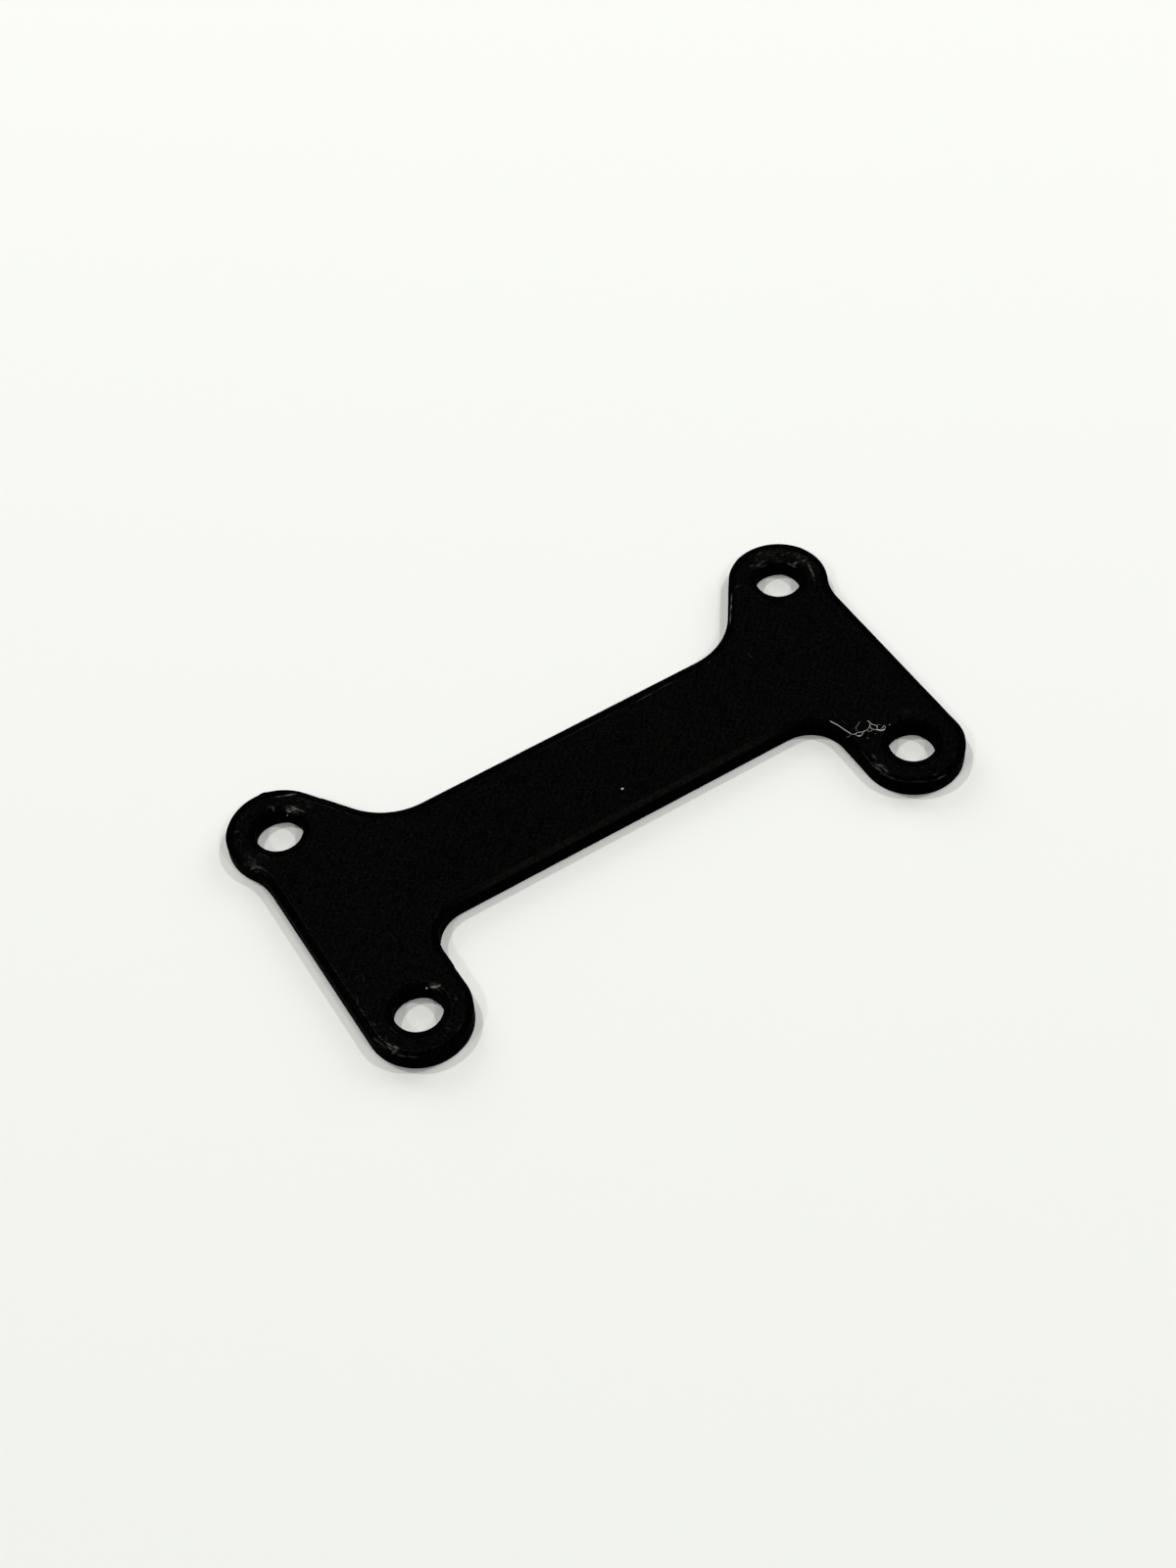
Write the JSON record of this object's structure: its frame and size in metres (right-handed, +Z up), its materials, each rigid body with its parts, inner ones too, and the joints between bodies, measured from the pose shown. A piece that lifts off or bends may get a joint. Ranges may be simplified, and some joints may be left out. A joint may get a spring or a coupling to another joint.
{
  "type": "display mounting bracket",
  "caption": "Flat black printed plate with a rounded screw ear at each corner, one pair of ears standing wider apart, joined by a narrower middle bar.",
  "frame": {"origin": "on the lower face, at the centre of the four screw holes", "axes": "+X along the plate, +Y across it towards the ears that stand wider apart, +Z up through the thickness"},
  "size_m": [0.0802, 0.0414, 0.0021],
  "materials": {
    "black_printed_plastic": "matte black printed plastic with fine laid lines on its faces"
  },
  "bodies": {
    "root": {"bracket_plate": "black_printed_plastic"}
  },
  "joints": []
}
